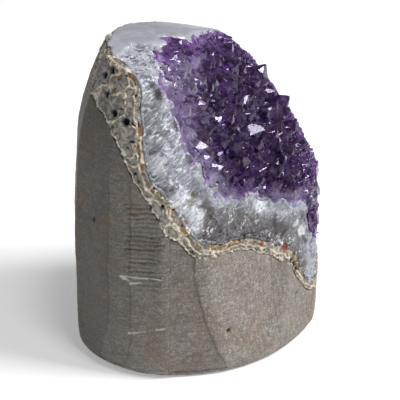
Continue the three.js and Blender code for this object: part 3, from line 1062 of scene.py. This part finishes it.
def quartz_relief():
    listed = (WHITE_SPOTS, SMOKY_SPOTS, STONE_SPOTS, RUST_SPOTS, MOSS_SPOTS)
    whites, smokes, stones, rusts, mosses = [spots(places) for places in listed]

    def relief(place, normal):
        u, v, w = TO_BED @ place
        skin = 1 - smooth_step(0.5, 1.5, skin_depth(place, u, v, w))
        skin = max(skin, 0.6 * smooth_step(-2.5, -1, w - bed(u, v)))
        bearing = bearing_of(place)
        rise = w - quartz_floor(u, v)
        lump = noise.noise(place / 5)
        ledge = v - LEDGE_V + LEDGE_SLOPE * max(u - LEDGE_U, 0)
        polish = smooth_step(-0.2, 0.3, ledge + 0.8 * noise.noise(place / 3))
        polish *= smooth_step(-1.2, 0, side_depth(place) - crown_cut(u, v) + w)
        band = plateau(bearing, *BLUE_BAND) * (1 - smooth_step(0.9, 1.7, rise)) * (1 - polish)
        rough = (1 - polish) * (1 - band)
        crushed = plateau(bearing, *CRUSHED)
        across = Vector((u / COLUMN_WIDTH, v / COLUMN_WIDTH, w / (5 * COLUMN_WIDTH)))
        across += noise.noise_vector(place / 5) * 0.35
        site = noise.voronoi(across)[1][0]
        facing = noise.noise_vector(site * 3.1)
        column = 0.9 * noise.noise(site * 5.3) + 0.5 * COLUMN_WIDTH * facing.dot(across - site)
        inside = Vector((u / GRAIN_WIDTH, v / GRAIN_WIDTH, w / (3 * GRAIN_WIDTH)))
        site = noise.voronoi(inside)[1][0]
        facing = noise.noise_vector(site * 3.7)
        grain = 0.5 * noise.noise(site * 4.9) + 0.45 * GRAIN_WIDTH * facing.dot(inside - site)
        move = rough * ((1 - crushed) * column + between(0.4, 1, crushed) * grain + 1.1 * lump - 0.9)
        move += 0.04 * noise.noise(place / 3) + 0.6 * polish
        smoky = (1 - smooth_step(8, 15, rise + 4 * lump)) * plateau(bearing, *SMOKY)
        smoky = max(smoky, spot(smokes, place))
        lilac = (1 - smooth_step(0.5, 6.5, bed(u, v) - w + 2.5 * lump)) * (1 - spot(stones, place))
        marks = (rough, 1 - crushed, band, polish, spot(whites, place), smoky, lilac)
        marks += (spot(stones, place), spot(rusts, place), spot(mosses, place))
        return skin * (move - 0.5), marks

    return relief


def swatch(name, description, code):
    """A colour that the user can change."""
    return FloatVectorProperty(
        name=name, description=description, default=colour(code), subtype="COLOR", size=4, min=0, max=1
    )


def size(name, description, default):
    """A mesh size that the user can change."""
    return FloatProperty(name=name, description=description, default=default, min=0.2, max=3)


class DruseLooks(bpy.types.PropertyGroup):
    """Sizes and colours of the druse"""

    basalt: swatch("Basalt", "Ground basalt", "#878078")
    basalt_dark: swatch("Basalt, Dark", "Darker grains and patches", "#5f5954")
    basalt_warm: swatch("Basalt, Warm", "Warmer, redder areas", "#8c7f76")
    basalt_pale: swatch("Basalt, Pale", "Grinding dust in lines and scratches", "#bdb7b0")
    # Dark ruts, and painted shade: in the saw's grooves, on strokes facing away from the lamps, along
    # strokes' borders
    basalt_black_and_shade: swatch("Basalt, Black", "The saw's grooves, ruts and dark strokes", "#45413c")
    # Painted shade on the floors of pits and pores
    pit_shade: swatch("Holes", "Dark floors of pits", "#1f1c1a")
    lens: swatch("Rind Lenses", "Dull grey lenses in the rind", "#aaa8a4")
    tan: swatch("Rind Tan", "Tan patches", "#ab9f8c")
    # Dark specks, and the painted shade at the foot of the rind's seams
    umber_and_shade: swatch("Rind Umber", "Dark specks", "#5c5248")
    cream: swatch("Rind Cream", "Cream seams", "#dccfbb")
    carnelian: swatch("Carnelian", "Orange-brown agate beside the quartz", "#7d5a2c")
    rust: swatch("Rust", "Iron stains", "#8e3a1c")
    moss: swatch("Celadonite", "Green stains", "#6f6c35")
    chalcedony: swatch("Chalcedony", "Blue-grey first band of the quartz", "#8b93a6")
    quartz: swatch("Quartz", "Milky quartz", "#a2a5ae")
    quartz_grey: swatch("Quartz, Grey", "Clearer parts, which look greyer", "#6f727a")
    quartz_pale: swatch("Quartz, Pale", "Milkier fibres", "#c0c4cd")
    frost: swatch("Frost", "Broken grains and seams", "#eef0f4")
    smoky: swatch("Quartz, Smoky", "Dark see-deep parts", "#534d4f")
    crown: swatch("Crown", "Polished grey-lilac crown", "#a4a5ae")
    violet: swatch("Violet", "What a deep amethyst lets through", "#ac5cc0")
    violet_glass: swatch("Violet Glass", "Tint of the points themselves", "#aa80cc")
    garnet: swatch("Garnet Red", "Reddish-brown clouds in some points", "#7a3a4c")
    violet_deep: swatch("Violet, Deep", "Darker zones in the points", "#4a3461")
    lilac: swatch("Lilac", "Milky feet of the points", "#aea8be")
    zone: swatch("Zoning", "Violet zones on the points", "#d6bfe8")
    glint: swatch("Glint", "Cool tint of what the points reflect", "#e2def9")
    floor: swatch("Floor", "Floor under the stone", "#fafafa")
    violet_depth: FloatProperty(
        name="Violet Depth", description="How strongly depth colours the points", default=480, min=0
    )
    basalt_mesh: size("Basalt Mesh", "Mesh size of the basalt, in millimetres", 0.85)
    rind_mesh: size("Rind Mesh", "Mesh size of the rind, in millimetres", 0.8)
    quartz_mesh: size("Quartz Mesh", "Mesh size of the quartz, in millimetres", 0.9)


class OBJECT_OT_druse_host(bpy.types.Operator):
    """Makes the ground basalt column"""

    bl_idname = "object.druse_host"
    bl_label = "Basalt Host"

    def execute(self, context):
        looks = context.scene.druse
        body = layer("basalt_column", lambda u, v: rind_floor(u, v) + OVERLAP, None)
        remeshed(body, looks.basalt_mesh)
        refined(body, finer_basalt)
        worked(body, ("sawn", "scratch", "moss", "pit", "dark", "combed", "edge"), basalt_relief())
        dress(body, ground_basalt(looks), "basalt_host")
        return {"FINISHED"}


class OBJECT_OT_druse_rind(bpy.types.Operator):
    """Makes the pitted agate rind"""

    bl_idname = "object.druse_rind"
    bl_label = "Agate Rind"

    def execute(self, context):
        looks = context.scene.druse
        body = layer("agate_band", lambda u, v: quartz_floor(u, v) + OVERLAP, rind_floor)
        remeshed(body, looks.rind_mesh)
        refined(body, near_skin)
        worked(body, ("crest", "seam_shade", "near", "pit", "rust", "moss"), rind_relief())
        dress(body, weathered_agate(looks), "agate_rind")
        return {"FINISHED"}


class OBJECT_OT_druse_quartz(bpy.types.Operator):
    """Makes the milky quartz layer"""

    bl_idname = "object.druse_quartz"
    bl_label = "Milky Quartz"

    def execute(self, context):
        looks = context.scene.druse
        body = quartz_growth("quartz_layer", 0)
        cut_with(body, envelope(), "INTERSECT")
        cut_with(body, finish_mesh(block_under(quartz_floor, LAYER_CELLS), "floor"), "DIFFERENCE")
        remeshed(keep_largest(body), looks.quartz_mesh)
        refined(body, near_skin)
        marks = ("rough", "column", "band", "polish", "white", "smoky", "lilac", "stone", "rust", "moss")
        worked(body, marks, quartz_relief())
        dress(body, milky_quartz(looks), "milky_quartz")
        return {"FINISHED"}


class OBJECT_OT_druse_points(bpy.types.Operator):
    """Grows the violet points"""

    bl_idname = "object.druse_points"
    bl_label = "Amethyst Points"

    def execute(self, context):
        looks = context.scene.druse
        body = finish_mesh(block_under(bed, BED_CELLS), "amethyst_points")
        for name, crop in (("coarse", COARSE), ("medium", MEDIUM), ("fine", FINE)):
            cut_with(body, grown_points(name, crop), "UNION")
        cut_with(body, quartz_growth("under", 0.25), "DIFFERENCE")
        cut_with(body, broken_envelope(), "INTERSECT")
        keep_largest(body)
        worked(body, ("veil",), veil)
        dress(body, clear_amethyst(looks), "amethyst_crust")
        return {"FINISHED"}


class OBJECT_OT_druse_stage(bpy.types.Operator):
    """Sets the floor, the lights and the camera"""

    bl_idname = "object.druse_stage"
    bl_label = "Stage"

    def execute(self, context):
        scene = context.scene
        looks = scene.druse
        scene.view_settings.view_transform = "Standard"
        bm = bmesh.new()
        bmesh.ops.create_grid(bm, x_segments=1, y_segments=1, size=FLOOR_SIZE)
        floor_piece = finish_mesh(bm, "floor", 1)
        floor_piece.data.materials.append(plain_floor(looks))
        world = bpy.data.worlds.new("studio")
        scene.world = world
        world.use_nodes = True
        background = world.node_tree.nodes["Background"]
        background.inputs["Color"].default_value = WORLD_COLOUR
        background.inputs["Strength"].default_value = WORLD_STRENGTH
        target = Vector((0, 0, CAMERA_AIM * MM)) + direction(90 + CAMERA_AZIMUTH, 0) * CAMERA_ASIDE * MM
        back = direction(CAMERA_AZIMUTH, CAMERA_HEIGHT)
        camera = bpy.data.cameras.new("camera")
        camera.lens = CAMERA_LENS
        stand_at(scene, camera, target, back, CAMERA_DISTANCE)
        scene.camera = bpy.data.objects["camera"]
        for name, azimuth, height, distance, size, power in LAMPS:
            lamp = bpy.data.lights.new(name, "AREA")
            lamp.shape = "SQUARE"
            lamp.size = size
            lamp.energy = power
            stand_at(scene, lamp, Vector((0, 0, LAMPS_AIM)), direction(azimuth, height), distance)
        return {"FINISHED"}


def direction(azimuth, height):
    """The direction from the stone towards a camera or lamp at an azimuth and height in degrees."""
    a, e = radians(azimuth), radians(height)
    return Vector((sin(a) * cos(e), -cos(a) * cos(e), sin(e)))


def stand_at(scene, what, target, back, distance):
    """Stands a camera or lamp at a distance from a target, turned to it."""
    stand = bpy.data.objects.new(what.name, what)
    stand.location = target + back * distance
    stand.rotation_euler = back.to_track_quat("Z", "Y").to_euler()
    scene.collection.objects.link(stand)


class VIEW3D_PT_druse(bpy.types.Panel):
    """The druse's tools"""

    bl_label = "Amethyst Druse"
    bl_idname = "VIEW3D_PT_druse"
    bl_space_type = "VIEW_3D"
    bl_region_type = "UI"
    bl_category = "Druse"

    def draw(self, context):
        for kind in OPERATORS:
            self.layout.operator(kind.bl_idname)
        for name in DruseLooks.__annotations__:
            self.layout.prop(context.scene.druse, name)


OPERATORS = (
    OBJECT_OT_druse_stage,
    OBJECT_OT_druse_host,
    OBJECT_OT_druse_rind,
    OBJECT_OT_druse_quartz,
    OBJECT_OT_druse_points,
)


def register():
    for kind in (DruseLooks, *OPERATORS, VIEW3D_PT_druse):
        bpy.utils.register_class(kind)
    bpy.types.Scene.druse = PointerProperty(type=DruseLooks)


def unregister():
    del bpy.types.Scene.druse
    for kind in reversed((DruseLooks, *OPERATORS, VIEW3D_PT_druse)):
        bpy.utils.unregister_class(kind)


def main():
    register()
    bpy.ops.object.druse_stage()
    bpy.ops.object.druse_host()
    bpy.ops.object.druse_rind()
    bpy.ops.object.druse_quartz()
    bpy.ops.object.druse_points()


if __name__ == "__main__":
    main()
